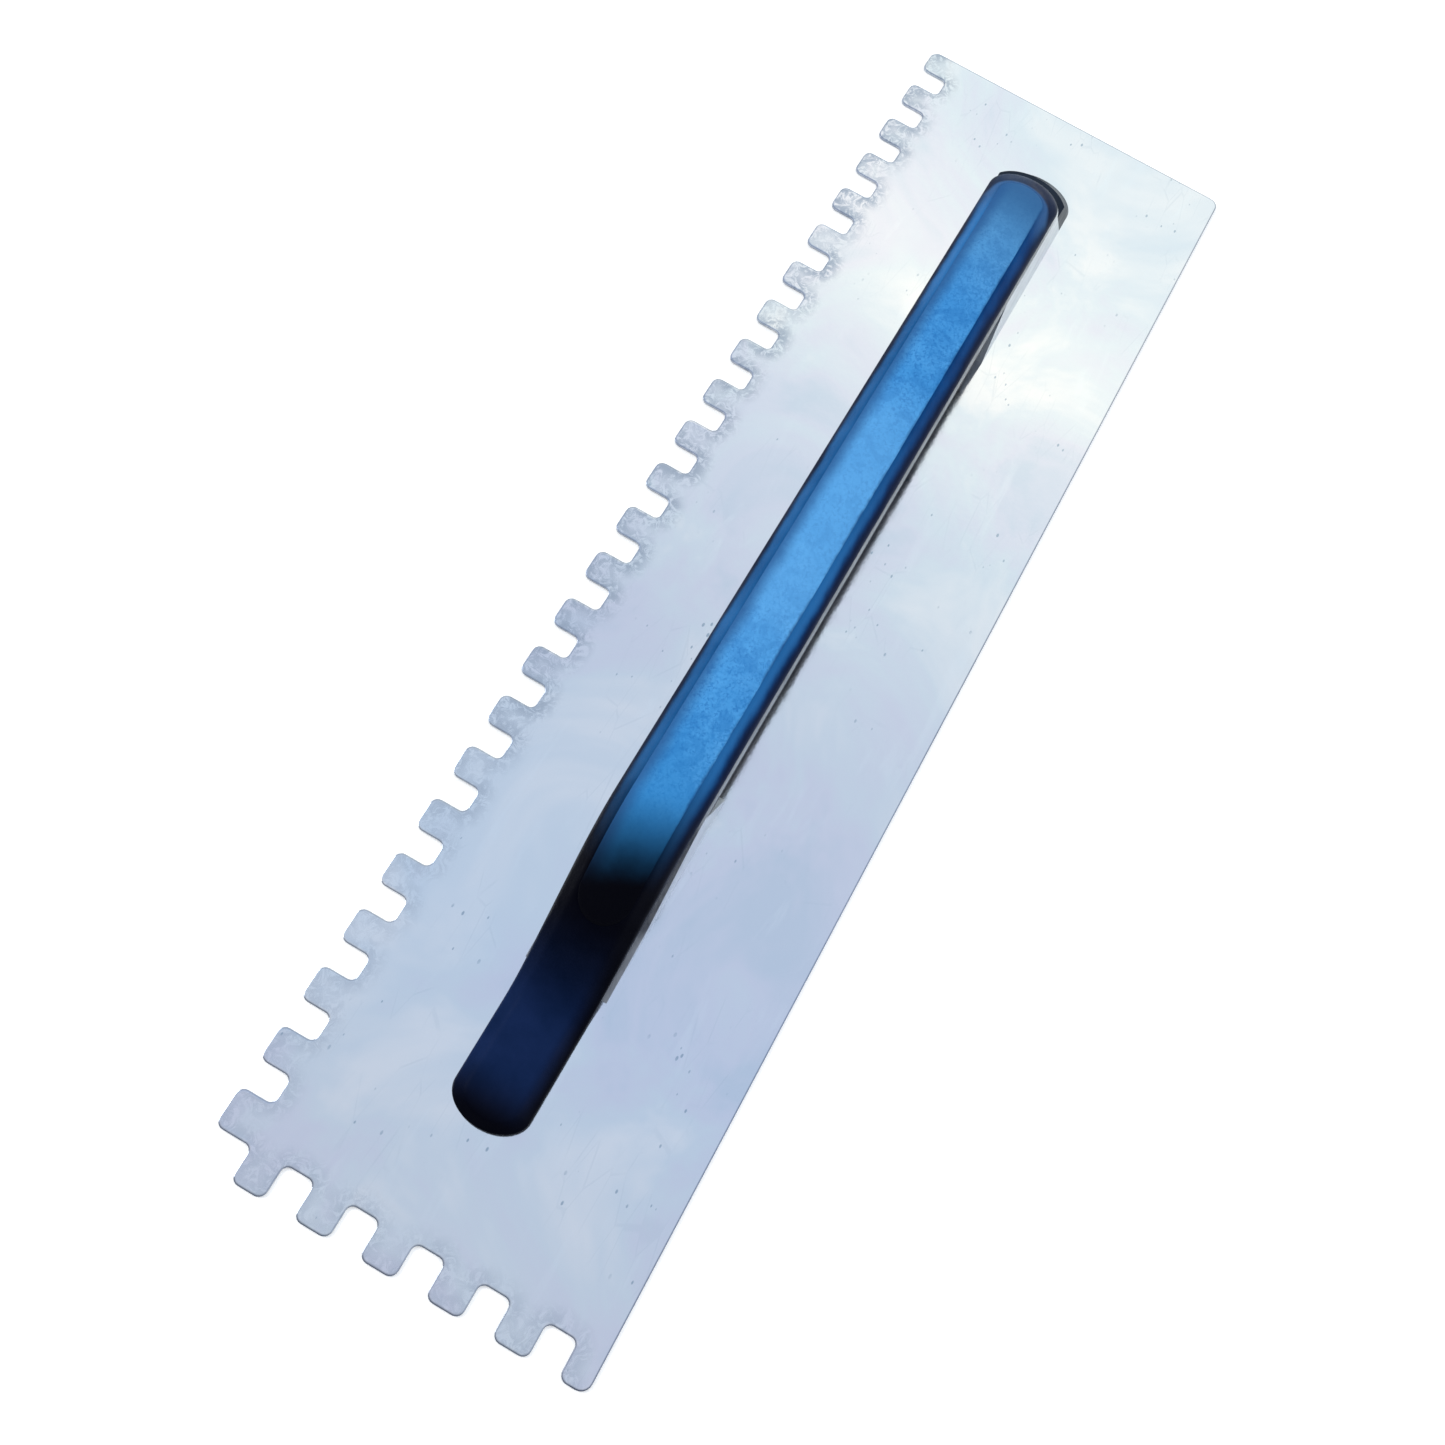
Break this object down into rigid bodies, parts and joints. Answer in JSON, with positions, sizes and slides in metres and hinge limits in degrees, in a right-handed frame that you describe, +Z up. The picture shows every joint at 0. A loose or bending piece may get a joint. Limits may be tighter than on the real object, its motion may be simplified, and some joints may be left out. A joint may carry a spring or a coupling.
{
  "type": "notched trowel",
  "caption": "Hand trowel with a thin flat blade, square notches along one long and one short edge, and a closed handle with a soft top and a finger gap.",
  "frame": {"origin": "middle of the trowel's bounding box in plan, on the working face at the underside of the blade", "axes": "+X along the blade, away from its toothed short edge; +Y across, towards the toothed long edge; +Z up, from the working face to the handle"},
  "size_m": [0.48, 0.127, 0.0597],
  "materials": {
    "blade_steel": "satin rolled stainless sheet",
    "bridge_metal": "satin, lightly blasted",
    "shell_plastic": "satin moulded, near black at the nose",
    "pad_rubber": "soft touch with a fine leathery grain",
    "lower_grip_rubber": "dark, moulded, with a fine grain",
    "heel_plastic": "satin moulded",
    "rivet_steel": "ground flush",
    "screw_steel": "zinc bright",
    "insert_brass": "turned"
  },
  "bodies": {
    "root": {"blade": "blade_steel", "handle_bridge": "bridge_metal", "lower_grip": "lower_grip_rubber", "grip_pad": "pad_rubber", "handle_shell": "shell_plastic", "heel_cap": "heel_plastic", "heel_screw": "screw_steel", "blade_rivet_1": "rivet_steel", "blade_rivet_2": "rivet_steel", "blade_rivet_3": "rivet_steel", "blade_rivet_4": "rivet_steel", "blade_rivet_5": "rivet_steel", "blade_rivet_6": "rivet_steel", "shell_screw_1": "screw_steel", "screw_washer_1": "screw_steel", "shell_insert_1": "insert_brass", "shell_screw_2": "screw_steel", "screw_washer_2": "screw_steel", "shell_insert_2": "insert_brass", "shell_screw_3": "screw_steel", "screw_washer_3": "screw_steel", "shell_insert_3": "insert_brass"}
  },
  "joints": []
}
